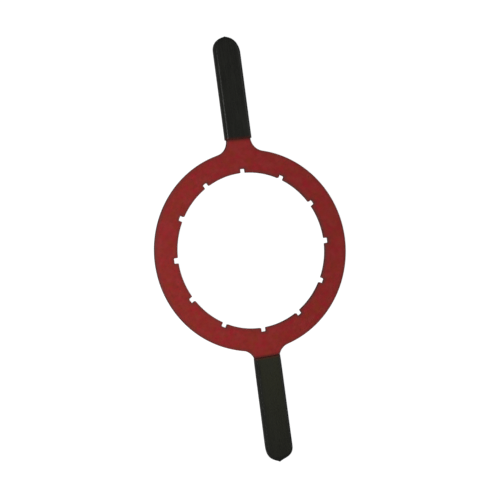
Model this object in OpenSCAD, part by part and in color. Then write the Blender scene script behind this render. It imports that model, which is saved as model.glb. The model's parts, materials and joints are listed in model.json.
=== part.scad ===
// Two-handled ring wrench for round housings with a ribbed collar.
// A flat steel ring, cut in one piece with its two handles, has a notched bore.
// A closed vinyl grip is pushed on to each handle.
// The origin is the bore's centre, halfway through the plate. +Z is the bore's
// axis, and the handles lie along +Y (upper) and -Y (lower).

/* [Ring] */
// Diameter of the bore, which passes over the housing's collar
bore_d = 159.5; // [150:0.5:166]
// Outside diameter of the ring
ring_d = 206; // [195:1:220]
// Thickness of the steel plate
plate_t = 4.76; // [3:0.01:8]

/* [Notches] */
// Number of notches round the bore
notch_count = 12; // [4:1:16]
// Width of each notch
notch_w = 5.4; // [3:0.1:9]
// Depth of each notch, from the bore to its flat root
notch_depth = 4.1; // [2:0.1:8]

/* [Handles] */
// Width of each handle's flat bar
handle_w = 25.4; // [20:0.1:30]
// Radius of the fillets where the handles leave the ring
fillet_r = 14.5; // [12:0.5:18]
// Bare length of the upper handle, from the ring's edge to its grip
upper_neck = 11.5; // [8:0.1:30]
// Bare length of the lower handle, whose grip is pushed on a little further
lower_neck = 6.6; // [6:0.1:30]

/* [Grips] */
// Length of the upper grip, from its mouth to its tip
upper_grip_l = 105.3; // [80:0.1:130]
// Length of the lower grip, from its mouth to its tip
lower_grip_l = 108.7; // [80:0.1:130]
// Wall of a grip beside the bar, at its mouth
side_wall = 1.5; // [1:0.1:3]
// Wall of a grip above and below the bar
face_wall = 2; // [1.5:0.1:3]
// How much wider each side of a grip is at its tip than at its mouth
grip_spread = 0.2; // [0:0.1:1]
// Wall of a grip beyond the end of the bar
end_wall = 4; // [2:0.1:5]
// Radius of a grip's long edges
grip_edge_r = 3.6; // [3:0.1:3.8]

/* [Grip tips] */
// Depth of the upper tip's curve on its left side, seen from the front
upper_short = 13.9; // [11:0.1:20]
// Depth of the upper tip's curve on its right side
upper_long = 18.1; // [11:0.1:24]
// How far the drop left by the dipping stands out of the upper tip
upper_drop = 0.9; // [0:0.1:3.5]
// Depth of the lower tip's curve on its right side, seen from the front
lower_short = 12.7; // [11:0.1:20]
// Depth of the lower tip's curve on its left side
lower_long = 17.7; // [11:0.1:24]
// How far the drop stands out of the lower tip
lower_drop = 3.1; // [0:0.1:3.5]
// How far the lower tip's drop stands off the handle's middle
lower_apex = 1.2; // [0:0.1:2]

/* [Hidden] */
$fn = 180;
red = "#8c2b29";
black = "#242422";
bore_r = bore_d / 2;
ring_r = ring_d / 2;
bar_x = handle_w / 2;
// Centre of a fillet: its arc touches the ring's edge and the side of the bar
fillet_x = bar_x + fillet_r;
fillet_y = sqrt(pow(ring_r + fillet_r, 2) - pow(fillet_x, 2));
upper_mouth = ring_r + upper_neck;
upper_tip = upper_mouth + upper_grip_l;
lower_mouth = ring_r + lower_neck;
lower_tip = lower_mouth + lower_grip_l;
grip_z = plate_t / 2 + face_wall;
// The edge balls' centres stand this far off the middle of the grip's thickness
edge_z = grip_z - grip_edge_r;
mouth_x = bar_x + side_wall;
tip_x = mouth_x + grip_spread;
// Steps in a quarter of a grip's tip, and degrees between an edge ball's facets
tip_steps = 6;
ball_step = 15;

// ---- plate ----

// Material between the ring and the right side of a bar, with its fillet cut out
module fillet_web() {
    difference() {
        polygon([[0, 0], [0, fillet_y], [fillet_x, fillet_y]]);
        translate([fillet_x, fillet_y]) circle(fillet_r);
    }
}

// One handle's bar, along +Y, with a round end
module bar(end_y) {
    translate([-bar_x, 0]) square([handle_w, end_y - bar_x]);
    translate([0, end_y - bar_x]) circle(bar_x);
    fillet_web();
    mirror([1, 0]) fillet_web();
}

// A flat shape, made as thick as the plate
module slab() {
    linear_extrude(plate_t, center = true) children();
}

// The plate before its bore and notches are cut
module blank() {
    cylinder(r = ring_r, h = plate_t, center = true);
    slab() bar(upper_tip - end_wall);
    slab() rotate(180) bar(lower_tip - end_wall);
}

// The cutting blocks are centred on the bore's edge, so half of each is in the plate
module notches() {
    for (i = [0 : notch_count - 1])
        rotate(i * 360 / notch_count)
            translate([0, bore_r, 0])
                cube([notch_w, 2 * notch_depth, 2 * plate_t], center = true);
}

module wrench_plate() {
    color(red) difference() {
        blank();
        cylinder(r = bore_r, h = 2 * plate_t, center = true);
        notches();
    }
}

// ---- grips ----

// Inset point at angle a of an ellipse with half axes rx and ry
function inset(rx, ry, a) =
    let (n = [ry * cos(a), rx * sin(a)])
    [rx * cos(a), ry * sin(a)] - grip_edge_r * n / norm(n);

// Ball of the grip's edge radius, with points exactly at its top and bottom
module edge_ball() {
    rotate_extrude($fn = 32)
        polygon([for (a = [-90 : ball_step : 90]) grip_edge_r * [cos(a), sin(a)]]);
}

// Short length of the grip's long edge, from its mouth
module edge_rod() {
    rotate([-90, 0, 0]) cylinder(r = grip_edge_r, h = 1, $fn = 32);
}

// Outside of a grip along +Y. Its tip has one quarter curve on each side of the drop
module grip_body(mouth, tip, short, long, drop, apex) {
    hull() {
        for (z = [-1, 1]) {
            translate([apex, tip - grip_edge_r, z * edge_z]) edge_ball();
            for (x = [-1, 1]) {
                translate([x * (mouth_x - grip_edge_r), mouth, z * edge_z]) edge_rod();
                for (i = [0 : tip_steps]) {
                    rise = x < 0 ? short : long;
                    p = inset(tip_x - x * apex, rise, i * 90 / tip_steps);
                    translate([apex + x * p.x, tip - drop - rise + p.y, z * edge_z]) edge_ball();
                }
            }
        }
    }
}

// A grip, hollowed to the bar that it is pushed on to
module upper_grip() {
    color(black) difference() {
        grip_body(upper_mouth, upper_tip, upper_short, upper_long, upper_drop, 0);
        wrench_plate();
    }
}

module lower_grip() {
    color(black) difference() {
        rotate(180)
            grip_body(lower_mouth, lower_tip, lower_short, lower_long, lower_drop, lower_apex);
        wrench_plate();
    }
}

wrench_plate();
upper_grip();
lower_grip();
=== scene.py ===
"""Looks of a two-handled ring wrench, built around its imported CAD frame.

Three pieces are shown: the powder-coated steel plate and a dip-moulded vinyl grip on each
handle. All lengths are in metres, in the CAD frame: the bore's centre is the origin, +Z is the
bore's axis and +Y runs along the upper handle.
"""

import json
import math
from types import SimpleNamespace

import bmesh
import bpy
from mathutils import Matrix, Vector, noise
from mathutils.geometry import delaunay_2d_cdt


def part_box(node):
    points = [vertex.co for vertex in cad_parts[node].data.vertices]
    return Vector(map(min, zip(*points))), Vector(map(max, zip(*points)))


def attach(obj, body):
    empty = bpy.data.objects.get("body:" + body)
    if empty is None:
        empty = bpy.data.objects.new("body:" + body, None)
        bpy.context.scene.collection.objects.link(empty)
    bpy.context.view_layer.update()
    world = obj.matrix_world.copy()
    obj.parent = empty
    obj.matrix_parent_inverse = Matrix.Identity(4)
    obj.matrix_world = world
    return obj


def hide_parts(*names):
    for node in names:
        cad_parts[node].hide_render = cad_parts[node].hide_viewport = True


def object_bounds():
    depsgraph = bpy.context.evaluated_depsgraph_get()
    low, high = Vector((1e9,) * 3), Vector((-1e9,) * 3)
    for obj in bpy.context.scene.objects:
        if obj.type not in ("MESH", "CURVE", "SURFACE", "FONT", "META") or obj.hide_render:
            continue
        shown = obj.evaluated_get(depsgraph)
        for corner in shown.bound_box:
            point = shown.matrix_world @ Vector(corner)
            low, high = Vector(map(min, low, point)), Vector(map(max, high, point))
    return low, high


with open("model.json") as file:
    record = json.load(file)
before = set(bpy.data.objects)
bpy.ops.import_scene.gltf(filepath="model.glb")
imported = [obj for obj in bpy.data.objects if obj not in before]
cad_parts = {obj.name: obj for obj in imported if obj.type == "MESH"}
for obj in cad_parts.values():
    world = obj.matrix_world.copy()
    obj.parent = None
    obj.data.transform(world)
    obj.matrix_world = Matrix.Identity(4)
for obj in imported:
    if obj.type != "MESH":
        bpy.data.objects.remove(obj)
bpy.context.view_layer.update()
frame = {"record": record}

MM = 0.001

# ---- sizes that come from the frame ----

PLATE_LOW, PLATE_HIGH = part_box("wrench_plate")
UPPER_LOW, UPPER_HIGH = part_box("upper_grip")
LOWER_LOW, LOWER_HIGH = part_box("lower_grip")
MOUNTS = {m["name"]: m for m in frame["record"]["mounts"]}

RING_R = PLATE_HIGH.x
HALF_PLATE = PLATE_HIGH.z
BORE_R = MOUNTS["ring_bore"]["dims"]["r_mm"] * MM
NOTCH_COUNT = MOUNTS["bore_notches"]["dims"]["count"]
GRIP_Z = UPPER_HIGH.z
GRIP_X = UPPER_HIGH.x
UPPER_BAR_END = PLATE_HIGH.y
LOWER_BAR_END = -PLATE_LOW.y

# ---- sizes that the frame doesn't state ----

BAR_X = 12.7 * MM            # half the width of a handle's bar
FILLET_R = 14.5 * MM
NOTCH_HALF = 2.7 * MM
NOTCH_DEPTH = 4.1 * MM
NOTCH_LIP_R = 0.75 * MM      # corners between the bore and a notch
NOTCH_ROOT_R = 0.9 * MM      # corners at a notch's root
PLATE_EDGE_R = 0.45 * MM     # rounding of the painted edges
PLATE_FLAT_RIM = 0.12 * MM   # strip inside a rounded edge, which keeps the face's shading soft
PLATE_ROLL = 0.12 * MM       # how far the plate's faces fall away beside its cut edges
RIM_Z = HALF_PLATE - PLATE_ROLL   # so a face meets its rounded edges at this height
GRIP_EDGE_R = 3.4 * MM       # rounding of a grip's long edges
MOUTH_EDGE_R = 2.8 * MM      # the same at its mouth, which is stretched over the bar
GRIP_CROWN = 0.25 * MM       # how far a grip's faces fall away towards its long edges
GRIP_LIP_R = 0.2 * MM        # rounding of the lip at its mouth
SLOT_GAP = 0.02 * MM         # between a bar and the slot in its grip
RIM_FADE = 2.8 * MM          # width of the darker band that falls away along the plate's edges
FACE_GRID = 5 * MM           # spacing of the points over the plate's faces
FACE_GAP = 1.2 * MM          # least distance between two of them beside an edge
SKIN_DEPTH = 0.08 * MM       # how far a grip's dipped skin is uneven
SKIN_WAVE = (11 * MM, 34 * MM)   # size of that unevenness across and along the grip
PINCH_REACH = 5 * MM         # how far from its mouth a grip is pinched
STRETCH_REACH = 8 * MM       # and how far it is stretched thin
DRIP_REACH = 6 * MM          # how far back from its point a grip's drop begins

# Each grip as it is built, along +Y:
#   turn                how far it is then turned about +Z, in degrees
#   mouth, tip          y of its two ends
#   bar_end             y of the end of the bar inside it
#   mouth_x, tip_x      half its width at its mouth, and where its tip begins
#   pinch               how much narrower it is right at its mouth
#   shoulders           depths of its tip's curve on its left and its right
#   fullness            exponent of that curve, where 2 is an ellipse
#   apex                how far its point stands to the right
#   drip_y, drip_x      height and width of the drop that the dipping left at its point
UPPER_GRIP = SimpleNamespace(
    turn=0, mouth=UPPER_LOW.y, tip=UPPER_HIGH.y, bar_end=UPPER_BAR_END,
    mouth_x=14.22 * MM, tip_x=14.32 * MM, pinch=0.1 * MM,
    shoulders=(13.9 * MM, 18.1 * MM), fullness=2.14, apex=-0.3 * MM,
    drip_y=0.9 * MM, drip_x=1.9 * MM)
LOWER_GRIP = SimpleNamespace(
    turn=180, mouth=-LOWER_HIGH.y, tip=-LOWER_LOW.y, bar_end=LOWER_BAR_END,
    mouth_x=14.28 * MM, tip_x=14.54 * MM, pinch=0.4 * MM,
    shoulders=(12.7 * MM, 17.7 * MM), fullness=2.8, apex=1.2 * MM,
    drip_y=3.1 * MM, drip_x=4.8 * MM)

# Steps in the plate's outline: half the ring less a handle, a fillet, the end of a bar, a notch's
# corners, and the bore between two notches
RING_STEPS = 52
FILLET_STEPS = 12
BAR_END_STEPS = 32
NOTCH_LIP_STEPS = 4
NOTCH_ROOT_STEPS = 5
BORE_STEPS = 14

# Steps round each of the plate's edges
PLATE_EDGE_STEPS = 4

# Steps in a grip's mesh: its lip, straight side and tip, across a face, and round each edge
LIP_STEPS = 4
STRAIGHT_STEPS = 56
TIP_STEPS = 36
TIP_CROWDING = 1.3           # above 1, the tip's steps are closer together towards its point
FLAT_STEPS = 12
EDGE_STEPS = 8


# ---- outlines in the plate's plane ----

def arc(centre, radius, start, end, steps):
    """Points on an arc, from start to end in degrees, both ends included."""
    points = []
    for i in range(steps + 1):
        angle = math.radians(start + (end - start) * i / steps)
        points.append(Vector((centre[0] + radius * math.cos(angle),
                              centre[1] + radius * math.sin(angle))))
    return points


def angle_of(point):
    """Direction of a point from the origin, in degrees."""
    return math.degrees(math.atan2(point[1], point[0]))


FILLET = Vector((BAR_X + FILLET_R, 0))
FILLET.y = math.sqrt((RING_R + FILLET_R) ** 2 - FILLET.x ** 2)


def half_outline(bar_end):
    """The plate's edge from the +X axis, round a handle along +Y, to the point before the -X axis."""
    touch = angle_of(FILLET)
    left = (-FILLET.x, FILLET.y)
    points = arc((0, 0), RING_R, 0, touch, RING_STEPS)[:-1]
    points += arc(FILLET, FILLET_R, touch + 180, 180, FILLET_STEPS)
    points += arc((0, bar_end - BAR_X), BAR_X, 0, 180, BAR_END_STEPS)
    points += arc(left, FILLET_R, 0, -touch, FILLET_STEPS)
    points += arc((0, 0), RING_R, 180 - touch, 180, RING_STEPS)[1:-1]
    return points


def outer_outline():
    """The plate's whole outer edge, anticlockwise."""
    lower = [-p for p in half_outline(LOWER_BAR_END)]
    return half_outline(UPPER_BAR_END) + lower


def notch_outline():
    """One notch in line with +X, anticlockwise round the bore, with the bore's arc after it."""
    root = BORE_R + NOTCH_DEPTH
    lip, deep = NOTCH_LIP_R, NOTCH_ROOT_R
    # Centre of a lip's rounding, which touches the bore's edge and the notch's side
    lip_y = NOTCH_HALF + lip
    lip_x = math.sqrt((BORE_R + lip) ** 2 - lip_y ** 2)
    lip_angle = math.degrees(math.atan2(lip_y, lip_x))
    points = arc((lip_x, -lip_y), lip, 180 - lip_angle, 90, NOTCH_LIP_STEPS)
    points += arc((root - deep, -NOTCH_HALF + deep), deep, -90, 0, NOTCH_ROOT_STEPS)
    points += arc((root - deep, NOTCH_HALF - deep), deep, 0, 90, NOTCH_ROOT_STEPS)
    points += arc((lip_x, lip_y), lip, -90, lip_angle - 180, NOTCH_LIP_STEPS)
    pitch = 360 / NOTCH_COUNT
    points += arc((0, 0), BORE_R, lip_angle, pitch - lip_angle, BORE_STEPS)[1:-1]
    return points


def bore_outline():
    """The bore with its notches, clockwise, so that the material is on the left as on the outside."""
    points = []
    for i in range(NOTCH_COUNT):
        turn = Matrix.Rotation(math.radians(90 + i * 360 / NOTCH_COUNT), 2)
        points += [turn @ p for p in notch_outline()]
    return points[::-1]


def away(loop):
    """Unit normals of a loop, pointing out of the material on its left."""
    normals = []
    for i, p in enumerate(loop):
        before = (p - loop[i - 1]).normalized()
        after = (loop[(i + 1) % len(loop)] - p).normalized()
        mean = (before + after).normalized()
        normals.append(Vector((mean.y, -mean.x)))
    return normals


def inside(point, loops):
    """Is the point in the material between the loops?"""
    crossings = 0
    for loop in loops:
        for i, b in enumerate(loop):
            a = loop[i - 1]
            if (a.y > point.y) != (b.y > point.y):
                x = a.x + (point.y - a.y) / (b.y - a.y) * (b.x - a.x)
                crossings += x > point.x
    return crossings % 2 == 1


# ---- meshes ----

def new_piece(name, vertices, faces):
    """A smooth-shaded mesh object in the scene."""
    mesh = bpy.data.meshes.new(name)
    mesh.from_pydata([tuple(v) for v in vertices], [], faces)
    mesh.validate()
    mesh.update()
    mesh.polygons.foreach_set("use_smooth", [True] * len(mesh.polygons))
    piece = bpy.data.objects.new(name, mesh)
    bpy.context.scene.collection.objects.link(piece)
    return piece


def mark(mesh, name, values):
    """A number on each of a mesh's points, for its material to read."""
    data = mesh.attributes.new(name, "FLOAT", "POINT")
    data.data.foreach_set("value", values)


def edge_profile():
    """(inset, height) pairs over the plate's thickness, from its top face round to its bottom."""
    top = [(PLATE_EDGE_R + PLATE_FLAT_RIM, RIM_Z)]
    for i in range(PLATE_EDGE_STEPS + 1):
        angle = math.radians(90 - 90 * i / PLATE_EDGE_STEPS)
        top.append((PLATE_EDGE_R * (1 - math.cos(angle)),
                    RIM_Z - PLATE_EDGE_R * (1 - math.sin(angle))))
    return top + [(inset, -height) for inset, height in reversed(top)]


def clearance(point, loops):
    """Distance from a point to the nearest corner of the loops."""
    return min((point - q).length for loop in loops for q in loop)


def face_points(loops):
    """Points over the plate's face: two rows beside its edges, and a triangular grid."""
    return row_beside(loops, RIM_FADE / 2) + row_beside(loops, RIM_FADE) + grid_within(loops)


def row_beside(loops, inset):
    """Points at that distance inside the loops, where they aren't crowded."""
    row = []
    for loop in loops:
        for p, n in zip(loop, away(loop)):
            q = p - n * inset
            crowded = row and min((q - r).length for r in row) < FACE_GAP
            # 0.95 leaves out the points that another stretch of edge is nearer to
            if not crowded and inside(q, loops) and clearance(q, loops) > 0.95 * inset:
                row.append(q)
    return row


def grid_within(loops):
    """A grid of equilateral triangles' corners inside the rows beside the loops."""
    points = []
    row_gap = math.sqrt(0.75)    # as a share of the grid's spacing
    rows = int(PLATE_HIGH.y / FACE_GRID) + 1
    columns = int(RING_R / FACE_GRID) + 1
    for row in range(-rows, rows + 1):
        for column in range(-columns, columns + 1):
            shift = 0.5 * (row % 2)
            p = Vector(((column + shift) * FACE_GRID, row * FACE_GRID * row_gap))
            if inside(p, loops) and clearance(p, loops) > RIM_FADE + FACE_GAP:
                points.append(p)
    return points


def edge_strips(loops):
    """The plate's rounded edges: their vertices, their faces, and the numbers of each loop's first
    vertex on the upper face and on the lower face, with its count."""
    profile = edge_profile()
    vertices, faces, rims = [], [], []
    for loop in loops:
        normals = away(loop)
        start = len(vertices)
        count = len(loop)
        for inset, height in profile:
            for p, n in zip(loop, normals):
                q = p - n * inset
                vertices.append((q.x, q.y, height))
        for k in range(len(profile) - 1):
            for i in range(count):
                a = start + k * count + i
                b = start + k * count + (i + 1) % count
                faces.append((a, a + count, b + count, b))
        rims.append((start, start + (len(profile) - 1) * count, count))
    return vertices, faces, rims


def triangles_between(loops, inner):
    """Triangles over the material between the loops, which use all their points and the inner ones.
    Each is three numbers of points, counted through the loops and then the inner points."""
    points = [p for loop in loops for p in loop] + inner
    sides = []
    start = 0
    for loop in loops:
        sides += [(start + i, start + (i + 1) % len(loop)) for i in range(len(loop))]
        start += len(loop)
    made, _, triangles = delaunay_2d_cdt(points, sides, [], 0, 1e-9)[:3]
    if len(made) != len(points):
        raise ValueError("the plate's face gained or lost points")
    middles = [(made[a] + made[b] + made[c]) / 3 for a, b, c in triangles]
    return [t for t, middle in zip(triangles, middles) if inside(middle, loops)]


def make_plate():
    """The steel plate, with rounded painted edges on its outside, bore and notches."""
    vertices, faces, rims = edge_strips([outer_outline(), bore_outline()])
    flat = [[Vector(vertices[top + i][:2]) for i in range(count)] for top, _, count in rims]
    inner = face_points(flat)
    nearness = [max(0.0, 1 - clearance(p, flat) / RIM_FADE) for p in inner]
    triangles = triangles_between(flat, inner)
    edge_count = len(vertices)
    # Each rim holds its first vertex on the upper face, and then the one on the lower face
    for side, up in ((0, 1), (1, -1)):
        index = []
        for rim in rims:
            index += range(rim[side], rim[side] + rim[2])
        index += range(len(vertices), len(vertices) + len(inner))
        for p, near in zip(inner, nearness):
            vertices.append((p.x, p.y, up * (HALF_PLATE - PLATE_ROLL * near * near)))
        for triangle in triangles:
            corners = [index[i] for i in triangle]
            faces.append(corners if up > 0 else corners[::-1])
    plate = new_piece("painted_plate", vertices, faces)
    mark(plate.data, "rim", [1.0] * edge_count + nearness * 2)
    # The walls are all that lies below the start of the rounded edges
    wall_top = RIM_Z - 0.01 * MM
    mark(plate.data, "wall", [1.0 if abs(v[2]) < wall_top else 0.0 for v in vertices])
    return plate


# ---- grips ----

def side_stations(mouth, tip, rise):
    """(y, angle) down one side of a grip: the rounded lip, the straight side, the tip's curve."""
    shoulder = tip - rise
    start = mouth + GRIP_LIP_R
    stations = []
    for i in range(LIP_STEPS):
        turn = math.radians(90 * i / LIP_STEPS)
        stations.append((start - GRIP_LIP_R * math.cos(turn), 0.0))
    for i in range(STRAIGHT_STEPS):
        stations.append((start + (shoulder - start) * i / STRAIGHT_STEPS, 0.0))
    for i in range(TIP_STEPS + 1):
        turn = math.pi / 2 * (1 - (1 - i / TIP_STEPS) ** TIP_CROWDING)
        stations.append((shoulder + rise * math.sin(turn), turn))
    return stations


def lame(turn, fullness):
    """A point on a quarter of a full-cornered curve of radius 1, from its side at turn 0. Its
    exponent is fullness, where 2 is a circle."""
    power = 2 / fullness
    return max(0.0, math.cos(turn)) ** power, math.sin(turn) ** power


def section(left, right, left_normal, right_normal, edge_r, top):
    """Points round one section of a sleeve: over its upper face from right to left, round the
    left edge, and back over the lower face. left and right are its sides in plan."""
    points = []
    sides = ((right, right_normal), (left, left_normal))
    for side, (first, last) in ((1, sides), (-1, sides[::-1])):
        start = first[0] - first[1] * edge_r
        end = last[0] - last[1] * edge_r
        for i in range(FLAT_STEPS + 1):
            p = start.lerp(end, i / FLAT_STEPS)
            points.append(Vector((p.x, p.y, side * top)))
        for up, steps in ((1, range(1, EDGE_STEPS + 1)), (-1, range(EDGE_STEPS, 0, -1))):
            for i in steps:
                turn = math.pi / 2 * i / EDGE_STEPS
                p = end + last[1] * edge_r * math.sin(turn)
                z = up * (top - edge_r + edge_r * math.cos(turn))
                points.append(Vector((p.x, p.y, side * z)))
    return points


def side_of_grip(grip, side):
    """(point, normal) down a grip's left (-1) or right (1) side in plan, without its drop."""
    rise = grip.shoulders[side > 0]
    tip = grip.tip - grip.drip_y
    shoulder = tip - rise
    reach = grip.tip_x - side * grip.apex
    plan = []
    for y, turn in side_stations(grip.mouth, tip, rise):
        if turn:
            across, along = lame(turn, grip.fullness)
            point = Vector((grip.apex + side * reach * across, shoulder + rise * along))
            slope = grip.fullness - 1
            normal = Vector((side * rise * across ** slope, reach * along ** slope))
        else:
            share = (y - grip.mouth) / (shoulder - grip.mouth)
            half = grip.mouth_x + (grip.tip_x - grip.mouth_x) * share
            half -= grip.pinch * math.exp((grip.mouth - y) / PINCH_REACH)
            point = Vector((side * half, y))
            normal = Vector((side, 0))
        plan.append((point, normal.normalized()))
    return plan


def outside_of_grip(grip):
    """Sections of a grip's outside, from its mouth to its tip."""
    sections = []
    for (left, left_normal), (right, right_normal) in zip(side_of_grip(grip, -1),
                                                          side_of_grip(grip, 1)):
        depth = max(0.0, GRIP_LIP_R - (left.y - grip.mouth))
        shrink = GRIP_LIP_R - math.sqrt(GRIP_LIP_R ** 2 - depth ** 2)
        stretched = math.exp((grip.mouth - left.y) / STRETCH_REACH)
        edge_r = GRIP_EDGE_R - (GRIP_EDGE_R - MOUTH_EDGE_R) * stretched
        sections.append(section(
            left - left_normal * shrink, right - right_normal * shrink,
            left_normal, right_normal, edge_r - shrink, GRIP_Z - shrink))
    return sections


def plate_half_width(y):
    """Half the plate's width at y along a handle, which may still be in its fillets."""
    if y >= FILLET.y:
        return BAR_X
    return FILLET.x - math.sqrt(FILLET_R ** 2 - (y - FILLET.y) ** 2)


def slot_of_grip(grip):
    """Sections of the slot inside a grip, from its mouth to the bar's round end."""
    flat = Vector((0, 0))
    sections = []
    for y, turn in side_stations(grip.mouth, grip.bar_end, BAR_X):
        half = plate_half_width(y) * (math.cos(turn) if turn else 1) + SLOT_GAP
        if turn == math.pi / 2:
            half = 0.0
        level = y + SLOT_GAP * math.sin(turn)
        sections.append(section(Vector((-half, level)), Vector((half, level)),
                                flat, flat, 0.0, HALF_PLATE + SLOT_GAP))
    return sections


def moulded(grip, point):
    """A point of a grip's outside with its soft crown, its uneven skin and the drop at its tip."""
    x, y, z = point
    across = min(1.0, abs(x) / GRIP_X)
    wide, long = SKIN_WAVE
    uneven = noise.noise(Vector((x / wide, y / long, grip.turn + z / wide)))
    inward = SKIN_DEPTH * (0.5 + 0.5 * uneven)
    z *= 1 - (GRIP_CROWN * across ** 4 + inward) / GRIP_Z
    x *= 1 - inward / GRIP_X
    share = min(1.0, max(0.0, 1 - (grip.tip - grip.drip_y - y) / DRIP_REACH))
    above = max(0.0, abs(z) - (GRIP_Z - GRIP_EDGE_R))
    y += grip.drip_y * share * math.exp(-math.hypot(x - grip.apex, above) / grip.drip_x)
    return Vector((x, y, z))


def loft(sections, start, outward):
    """Quads between neighbouring sections whose first vertex is number start."""
    around = len(sections[0])
    faces = []
    for k in range(len(sections) - 1):
        for i in range(around):
            a = start + k * around + i
            b = start + k * around + (i + 1) % around
            quad = (a, b, b + around, a + around)
            faces.append(quad if outward else quad[::-1])
    return faces


def make_grip(name, grip):
    """A closed vinyl sleeve: its outside, the lip at its mouth, and the slot that the bar fills."""
    outer = [[moulded(grip, p) for p in points] for points in outside_of_grip(grip)]
    around = len(outer[0])
    rotation = Matrix.Rotation(math.radians(grip.turn), 3, "Z")
    slot = slot_of_grip(grip)
    vertices = [rotation @ p for points in outer + slot for p in points]
    slot_start = len(outer) * around
    faces = loft(outer, 0, True) + loft(slot, slot_start, False)
    for i in range(around):
        j = (i + 1) % around
        faces.append((j, i, slot_start + i, slot_start + j))
    piece = new_piece(name, vertices, faces)
    weld(piece.data)
    return piece


def weld(mesh):
    """Merges the points that meet where a sleeve closes."""
    made = bmesh.new()
    made.from_mesh(mesh)
    bmesh.ops.remove_doubles(made, verts=made.verts, dist=0.001 * MM)
    bmesh.ops.recalc_face_normals(made, faces=made.faces)
    made.to_mesh(mesh)
    made.free()


# ---- materials ----

# Paint and vinyl colours, in linear light
RED_WARM = (0.217, 0.0232, 0.0088)
RED_COOL = (0.283, 0.0084, 0.0172)
RED_CHALK = (0.254, 0.0258, 0.0262)
RED_DEEP = (0.190, 0.0130, 0.0120)
RED_SPECK = (0.160, 0.0110, 0.0110)
RED_RIM = (0.120, 0.0230, 0.0210)
# Painted shade on the plate's cut walls
RED_WALL_SHADE = (0.092, 0.0205, 0.0175)
# Painted shade on the paint just in front of each grip's lip
LIP_SHADE = (0.030, 0.0100, 0.0090)
VINYL_DARK = (0.0110, 0.0112, 0.0100)
VINYL_OLIVE = (0.0132, 0.0138, 0.0114)
VINYL_DUSTY = (0.0190, 0.0190, 0.0160)
VINYL_THIN = (0.0460, 0.0085, 0.0065)

LIP_SHADE_REACH = 3.0 * MM       # width of the painted shade, a dark line on the paint in front of a grip's lip
LIP_REACH = 2.7 * MM         # behind the lip the vinyl is thin, so the paint shows through it

# Size of each pattern in the paint
MOTTLE_SIZE = 8 * MM
CHALK_SIZE = 6 * MM
DEEP_SIZE = 4 * MM
SPECK_SIZE = 0.9 * MM
UNEVEN_SIZE = 3 * MM         # of the darker paint along the edges
GLOSS_SIZE = 9 * MM
PEEL_SIZE = 1.4 * MM         # orange peel
GRAIN_SIZE = 0.35 * MM
CUT_LINE_SIZE = 0.8 * MM     # width of the lines that the cutting left on the walls

# Size of each pattern in the vinyl
CLOUD_SIZE = 16 * MM
STREAK_SIZE = 1.6 * MM       # width of the long streaks
SOFT_SIZE = 3.5 * MM
SKIN_SIZE = 0.5 * MM

# Scales that draw noise out into upright lines, and into streaks along the grips
UPRIGHT = (1, 1, 0.04)
ALONG_GRIP = (1, 0.07, 1)


def new_material(name):
    """A material with its node tree and its surface shader."""
    material = bpy.data.materials.new(name)
    material.use_nodes = True
    return material, material.node_tree, material.node_tree.nodes["Principled BSDF"]


def object_space(tree, stretch=(1, 1, 1)):
    """Object coordinates, squeezed by stretch along each axis."""
    coordinates = tree.nodes.new("ShaderNodeTexCoord")
    mapping = tree.nodes.new("ShaderNodeMapping")
    mapping.inputs["Scale"].default_value = stretch
    tree.links.new(coordinates.outputs["Object"], mapping.inputs["Vector"])
    return mapping.outputs["Vector"]


def noise_of(tree, where, size, detail=2.0, roughness=0.5, seed=0.0):
    """Noise with features of about that size in metres. Each seed gives another pattern."""
    node = tree.nodes.new("ShaderNodeTexNoise")
    node.noise_dimensions = "4D"
    node.inputs["W"].default_value = seed
    node.inputs["Scale"].default_value = 1 / size
    node.inputs["Detail"].default_value = detail
    node.inputs["Roughness"].default_value = roughness
    tree.links.new(where, node.inputs["Vector"])
    return node.outputs["Fac"]


def spread(tree, value, low, high, to_low, to_high):
    """value from low..high, carried to to_low..to_high."""
    node = tree.nodes.new("ShaderNodeMapRange")
    node.inputs["From Min"].default_value = low
    node.inputs["From Max"].default_value = high
    node.inputs["To Min"].default_value = to_low
    node.inputs["To Max"].default_value = to_high
    tree.links.new(value, node.inputs["Value"])
    return node.outputs["Result"]


def combine(tree, kind, a, b):
    """Maths on two values, where b may be a number."""
    node = tree.nodes.new("ShaderNodeMath")
    node.operation = kind
    tree.links.new(a, node.inputs[0])
    if isinstance(b, (int, float)):
        node.inputs[1].default_value = b
    else:
        tree.links.new(b, node.inputs[1])
    return node.outputs["Value"]


def blend_colours(tree, factor, first, second):
    """A colour between two, each a colour or another node's output."""
    node = tree.nodes.new("ShaderNodeMix")
    node.data_type = "RGBA"
    tree.links.new(factor, node.inputs["Factor"])
    for socket, colour in ((node.inputs[6], first), (node.inputs[7], second)):
        if isinstance(colour, tuple):
            socket.default_value = (*colour, 1)
        else:
            tree.links.new(colour, socket)
    return node.outputs[2]


def bump(tree, height, depth, below=None):
    """A bump of that depth in metres, over an earlier bump."""
    node = tree.nodes.new("ShaderNodeBump")
    node.inputs["Distance"].default_value = depth
    tree.links.new(height, node.inputs["Height"])
    if below is not None:
        tree.links.new(below, node.inputs["Normal"])
    return node.outputs["Normal"]


def patches(tree, where, size, low, high, strength, seed=0.0):
    """0 to strength in patches of about that size, as the noise goes from low to high."""
    return spread(tree, noise_of(tree, where, size, 3, seed=seed), low, high, 0, strength)


def attribute(tree, name):
    """The number that mark() put on each point of the mesh."""
    node = tree.nodes.new("ShaderNodeAttribute")
    node.attribute_name = name
    return node.outputs["Fac"]


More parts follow.
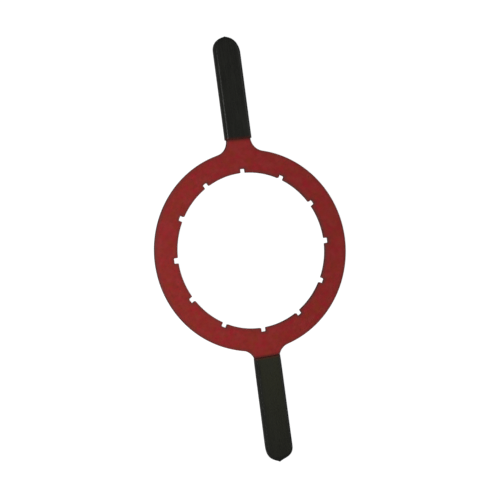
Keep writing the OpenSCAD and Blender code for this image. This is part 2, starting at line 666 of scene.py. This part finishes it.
def beside_lips(tree, reach):
    """1 at a grip's lip, fading to 0 at reach: that far up the grip, or down the paint if it is
    negative."""
    parts = tree.nodes.new("ShaderNodeSeparateXYZ")
    tree.links.new(object_space(tree), parts.inputs["Vector"])
    along = parts.outputs["Y"]
    upper = spread(tree, along, UPPER_LOW.y + reach, UPPER_LOW.y, 0, 1)
    lower = spread(tree, along, LOWER_HIGH.y - reach, LOWER_HIGH.y, 0, 1)
    return combine(tree, "MAXIMUM" if reach < 0 else "MINIMUM", upper, lower)


def paint_colour(tree, place, wall):
    """Red in crimson, brownish, chalky and deep patches with finer specks. It is darker along the
    edges, has painted shade on the cut walls, and has a line of painted shade on the paint in front of
    each grip's lip."""
    mottle = patches(tree, place, MOTTLE_SIZE, 0.36, 0.64, 1)
    chalk = patches(tree, place, CHALK_SIZE, 0.40, 0.66, 0.75, seed=2)
    deep = patches(tree, place, DEEP_SIZE, 0.42, 0.66, 0.6, seed=4)
    speck = spread(tree, noise_of(tree, place, SPECK_SIZE, 2, seed=6), 0.3, 0.7, 0, 0.3)
    uneven = spread(tree, noise_of(tree, place, UNEVEN_SIZE, 3, seed=8), 0.3, 0.7, 0.85, 1)
    rim = spread(tree, attribute(tree, "rim"), 0, 0.53, 0, 0.57)
    colour = blend_colours(tree, mottle, RED_WARM, RED_COOL)
    for amount, layer in (
            (chalk, RED_CHALK),
            (deep, RED_DEEP),
            (speck, RED_SPECK),
            (combine(tree, "MULTIPLY", rim, uneven), RED_RIM),
            # Painted shade on the cut walls
            (combine(tree, "MULTIPLY", wall, uneven), RED_WALL_SHADE),
            # Painted shade on the paint in front of each grip's lip
            (combine(tree, "MULTIPLY", beside_lips(tree, -LIP_SHADE_REACH), uneven), LIP_SHADE)):
        colour = blend_colours(tree, amount, colour, layer)
    return colour


def paint_bump(tree, place, wall):
    """Orange peel with a fine grain, and faint upright lines on the cut walls."""
    peel = bump(tree, noise_of(tree, place, PEEL_SIZE, 1.5, 0.4), 0.05 * MM)
    grain = bump(tree, noise_of(tree, place, GRAIN_SIZE, 1), 0.006 * MM, peel)
    upright = noise_of(tree, object_space(tree, UPRIGHT), CUT_LINE_SIZE, 2)
    return bump(tree, combine(tree, "MULTIPLY", upright, wall), 0.05 * MM, grain)


def red_powder_coat():
    """Satin powder coat, on the plate."""
    material, tree, shader = new_material("red_powder_coat")
    place = object_space(tree)
    wall = attribute(tree, "wall")
    rough = spread(tree, noise_of(tree, place, GLOSS_SIZE, 3), 0.3, 0.7, 0.42, 0.50)
    tree.links.new(paint_colour(tree, place, wall), shader.inputs["Base Color"])
    tree.links.new(rough, shader.inputs["Roughness"])
    shader.inputs["Specular IOR Level"].default_value = 0.25
    tree.links.new(paint_bump(tree, place, wall), shader.inputs["Normal"])
    return material


def black_vinyl():
    """Soft dip-moulded vinyl: nearly black and satin, with faint clouds, long streaks and a fine
    skin. The paint shows through its thin lip."""
    material, tree, shader = new_material("black_vinyl")
    place = object_space(tree)
    along = object_space(tree, ALONG_GRIP)
    cloud = patches(tree, place, CLOUD_SIZE, 0.35, 0.65, 1)
    streak = spread(tree, noise_of(tree, along, STREAK_SIZE, 2), 0.35, 0.65, 0, 1)
    colour = blend_colours(tree, cloud, VINYL_DARK, VINYL_OLIVE)
    colour = blend_colours(tree, combine(tree, "MULTIPLY", streak, 0.25), colour, VINYL_DUSTY)
    colour = blend_colours(tree, beside_lips(tree, LIP_REACH), colour, VINYL_THIN)
    tree.links.new(colour, shader.inputs["Base Color"])
    rough = combine(tree, "ADD", spread(tree, cloud, 0, 1, 0.22, 0.27),
                    combine(tree, "MULTIPLY", streak, 0.06))
    tree.links.new(rough, shader.inputs["Roughness"])
    shader.inputs["Specular IOR Level"].default_value = 0.35
    soft = bump(tree, noise_of(tree, place, SOFT_SIZE, 2), 0.03 * MM)
    skin = bump(tree, noise_of(tree, place, SKIN_SIZE, 3), 0.008 * MM, soft)
    tree.links.new(bump(tree, streak, 0.006 * MM, skin), shader.inputs["Normal"])
    return material


def white_floor():
    """Glowing white, so that nothing under or beside the wrench looks grey. From below it is clear."""
    material, tree, shader = new_material("white_floor")
    shader.inputs["Base Color"].default_value = (*FLOOR_SHADE, 1)
    shader.inputs["Roughness"].default_value = 0.9
    shader.inputs["Specular IOR Level"].default_value = 0
    shader.inputs["Emission Color"].default_value = (1, 1, 1, 1)
    shader.inputs["Emission Strength"].default_value = FLOOR_GLOW
    geometry = tree.nodes.new("ShaderNodeNewGeometry")
    clear = tree.nodes.new("ShaderNodeBsdfTransparent")
    mix = tree.nodes.new("ShaderNodeMixShader")
    tree.links.new(geometry.outputs["Backfacing"], mix.inputs["Fac"])
    tree.links.new(shader.outputs["BSDF"], mix.inputs[1])
    tree.links.new(clear.outputs["BSDF"], mix.inputs[2])
    tree.links.new(mix.outputs["Shader"], tree.nodes["Material Output"].inputs["Surface"])
    return material


# ---- stage, lights and camera ----

FLOOR_GLOW = 0.98
FLOOR_SHADE = (0.10, 0.10, 0.10)
FLOOR_SIZE = 12
ROOM_LEVEL = 0.05        # light from the room above the table, and from the table
TABLE_LEVEL = 0.25
HORIZON = 0.1            # half the height over which one turns into the other, as a sine

# Soft lights that aren't mirrored in the wrench
KEY = SimpleNamespace(place=(-0.60, -0.11, 0.85), length=0.45, height=0.45, power=12.1)
OVERHEAD = SimpleNamespace(place=(0, -0.10, 1.60), length=1.00, height=1.00, power=2.35)
UNDER = SimpleNamespace(place=(0, 0, -1.20), length=1.00, height=1.00, power=9.0)

# Dim cards that only show in reflections
LEFT_CARD = SimpleNamespace(place=(-0.38, 0.20, 1.40), length=0.36, height=0.36, power=2.2)
RIGHT_CARD = SimpleNamespace(place=(0.935, 0.10, 0.903), length=1.10, height=0.55, power=1.7)
SHEEN = SimpleNamespace(place=(0.52, -0.225, 1.50), length=0.34, height=0.34, power=0.32)
SHEEN_COLOUR = (0.96, 1, 0.28)


def make_floor():
    """A white floor that throws no light back at the wrench."""
    half = FLOOR_SIZE / 2
    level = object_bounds()[0].z
    corners = [(-half, -half, level), (half, -half, level), (half, half, level), (-half, half, level)]
    floor = new_piece("floor", corners, [(0, 1, 2, 3)])
    floor.data.materials.append(white_floor())
    floor.visible_diffuse = False
    floor.visible_glossy = False
    floor.visible_shadow = False


def softbox(name, light):
    """A soft rectangular light that faces the wrench's middle. Its length is level."""
    data = bpy.data.lights.new(name, "AREA")
    data.shape = "RECTANGLE"
    data.size = light.length
    data.size_y = light.height
    data.energy = light.power
    lamp = bpy.data.objects.new(name, data)
    lamp.location = light.place
    lamp.rotation_euler = (-Vector(light.place)).to_track_quat("-Z", "Y").to_euler()
    bpy.context.scene.collection.objects.link(lamp)
    return lamp


def studio_world():
    """A dim room over a paler table, behind a white backdrop."""
    world = bpy.data.worlds.new("studio")
    world.use_nodes = True
    tree = world.node_tree
    backdrop = tree.nodes["Background"]
    backdrop.inputs["Color"].default_value = (1, 1, 1, 1)
    direction = tree.nodes.new("ShaderNodeTexCoord")
    parts = tree.nodes.new("ShaderNodeSeparateXYZ")
    tree.links.new(direction.outputs["Generated"], parts.inputs["Vector"])
    level = spread(tree, parts.outputs["Z"], -HORIZON, HORIZON, TABLE_LEVEL, ROOM_LEVEL)
    path = tree.nodes.new("ShaderNodeLightPath")
    seen = combine(tree, "MAXIMUM", level, path.outputs["Is Camera Ray"])
    tree.links.new(seen, backdrop.inputs["Strength"])
    return world


def light_scene():
    """The soft lights, the cards and the room. The sheen card has a yellow tint."""
    for name, light in (("key", KEY), ("overhead", OVERHEAD), ("under", UNDER)):
        softbox(name, light).visible_glossy = False
    sheen = softbox("sheen", SHEEN)
    sheen.data.color = SHEEN_COLOUR
    sheen.visible_diffuse = False
    for name, card in (("left_card", LEFT_CARD), ("right_card", RIGHT_CARD)):
        softbox(name, card).visible_diffuse = False
    bpy.context.scene.world = studio_world()
    bpy.context.scene.view_settings.view_transform = "Standard"


# The camera looks down at the wrench from its left side, turned a little about its own axis.
# Its angles are in degrees.
CAMERA_TILT = 18.85      # from straight above, towards the left
CAMERA_PITCH = 0.85
CAMERA_ROLL = 7.83
CAMERA_DISTANCE = 1.0053
CAMERA_ASIDE = (-2.86 * MM, 0.34 * MM)   # how far its axis passes beside the bore's centre
CAMERA_LENS = 70.81      # in millimetres, like the width of its sensor
CAMERA_SENSOR = 36


def make_camera():
    """The scene's camera, placed in the wrench's frame from how the wrench is turned in its own."""
    data = bpy.data.cameras.new("camera")
    data.lens = CAMERA_LENS
    data.sensor_width = CAMERA_SENSOR
    camera = bpy.data.objects.new("camera", data)
    to_camera = (Matrix.Rotation(math.radians(CAMERA_ROLL), 3, "Z")
                 @ Matrix.Rotation(math.radians(CAMERA_TILT), 3, "Y")
                 @ Matrix.Rotation(math.radians(CAMERA_PITCH), 3, "X"))
    turned = to_camera.transposed()
    camera.location = turned @ Vector((*CAMERA_ASIDE, CAMERA_DISTANCE))
    camera.rotation_euler = turned.to_euler()
    bpy.context.scene.collection.objects.link(camera)
    bpy.context.scene.camera = camera


# ---- the object ----

def settle(piece, node, material):
    """The piece stands for a CAD node and moves with the wrench."""
    piece.data.materials.append(material)
    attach(piece, "root")
    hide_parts(node)


def build():
    """The three pieces, each with its material."""
    settle(make_plate(), "wrench_plate", red_powder_coat())
    vinyl = black_vinyl()
    settle(make_grip("upper_vinyl_grip", UPPER_GRIP), "upper_grip", vinyl)
    settle(make_grip("lower_vinyl_grip", LOWER_GRIP), "lower_grip", vinyl)


make_camera()
build()
make_floor()
light_scene()
